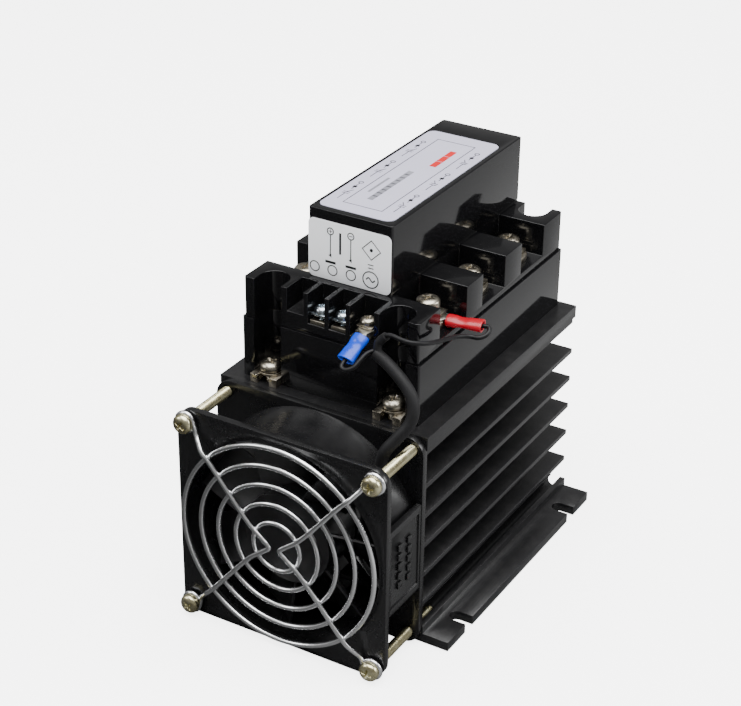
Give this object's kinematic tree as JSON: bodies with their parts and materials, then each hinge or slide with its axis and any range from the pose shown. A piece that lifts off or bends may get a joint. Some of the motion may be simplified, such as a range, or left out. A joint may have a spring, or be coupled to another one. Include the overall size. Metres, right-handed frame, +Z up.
{
  "type": "solid state power regulator on a fan-cooled heatsink",
  "caption": "Black three-phase solid state relay module with screw terminals on a finned black aluminium heatsink, with an axial fan, a wire finger guard and a lead with red and blue fork terminals.",
  "frame": {"origin": "middle of the heatsink's underside, on the surface it stands on", "axes": "+X to the right seen from the fan, +Y from the fan to the rear, +Z up"},
  "size_m": [0.1, 0.141, 0.141],
  "materials": {
    "anodised_black": "satin black anodised extrusion",
    "case_black": "glossy moulded plastic",
    "fan_black": "satin moulded plastic",
    "rotor_black": "satin moulded plastic",
    "guard_chrome": "bright plated wire",
    "yellow_zinc": "yellow zinc plated steel",
    "nickel_plate": "nickel plated, worn satin",
    "blue_zinc": "blue zinc plated steel",
    "tinned_copper": "tinned copper, satin",
    "polished_steel": "ground steel",
    "sintered_bronze": "sintered bronze",
    "bonded_magnet": "bonded ferrite",
    "lamination_steel": "stamped laminations",
    "white_ceramic": "matt ceramic plate",
    "circuit_board": "solder masked laminate",
    "moulded_epoxy": "moulded epoxy",
    "transformer_tape": "taped winding",
    "capacitor_sleeve": "shrink sleeve",
    "label_silver": "printed silver foil",
    "label_white": "printed white film",
    "lead_jacket": "matt black jacket",
    "core_black": "black insulation",
    "red_vinyl": "red vinyl sleeve",
    "blue_vinyl": "blue vinyl sleeve"
  },
  "bodies": {
    "chassis": {"base_plate": "nickel_plate", "bearing_front": "sintered_bronze", "bearing_rear": "sintered_bronze", "blue_fork": "tinned_copper", "blue_sleeve": "blue_vinyl", "ceramic_substrate": "white_ceramic", "control_board": "circuit_board", "control_screw_1": "blue_zinc", "control_screw_2": "blue_zinc", "control_screw_3": "nickel_plate", "control_terminal_1": "nickel_plate", "control_terminal_2": "nickel_plate", "control_terminal_3": "nickel_plate", "core_to_blue": "core_black", "core_to_red": "core_black", "cover": "case_black", "fan_frame": "fan_black", "fan_screw_1": "yellow_zinc", "fan_screw_2": "yellow_zinc", "fan_screw_3": "yellow_zinc", "fan_screw_4": "yellow_zinc", "filter_capacitor": "capacitor_sleeve", "finger_guard": "guard_chrome", "front_label": "label_white", "heatsink": "anodised_black", "lead_branch_sleeve": "lead_jacket", "lead_jacket": "lead_jacket", "lower_housing": "case_black", "mounting_screw_1": "nickel_plate", "mounting_screw_2": "nickel_plate", "mounting_screw_3": "nickel_plate", "mounting_screw_4": "nickel_plate", "power_screw_1": "nickel_plate", "power_screw_2": "nickel_plate", "power_screw_3": "nickel_plate", "power_screw_4": "nickel_plate", "power_screw_5": "nickel_plate", "power_screw_6": "nickel_plate", "power_terminal_1": "nickel_plate", "power_terminal_2": "nickel_plate", "power_terminal_3": "nickel_plate", "power_terminal_4": "nickel_plate", "power_terminal_5": "nickel_plate", "power_terminal_6": "nickel_plate", "red_fork": "tinned_copper", "red_sleeve": "red_vinyl", "stator_core": "lamination_steel", "sync_transformer": "transformer_tape", "thyristor_pair_1": "moulded_epoxy", "thyristor_pair_2": "moulded_epoxy", "thyristor_pair_3": "moulded_epoxy", "top_label": "label_silver", "upper_housing": "case_black"},
    "rotor": {"fan_rotor": "rotor_black", "rotor_magnet": "bonded_magnet", "rotor_shaft": "polished_steel", "shaft_clip": "polished_steel"}
  },
  "joints": [
    {"name": "fan_spin", "type": "hinge", "parent": "chassis", "child": "rotor", "pos_m": [0, -0.068, 0.04], "axis": [0, 1, 0], "continuous": true}
  ]
}
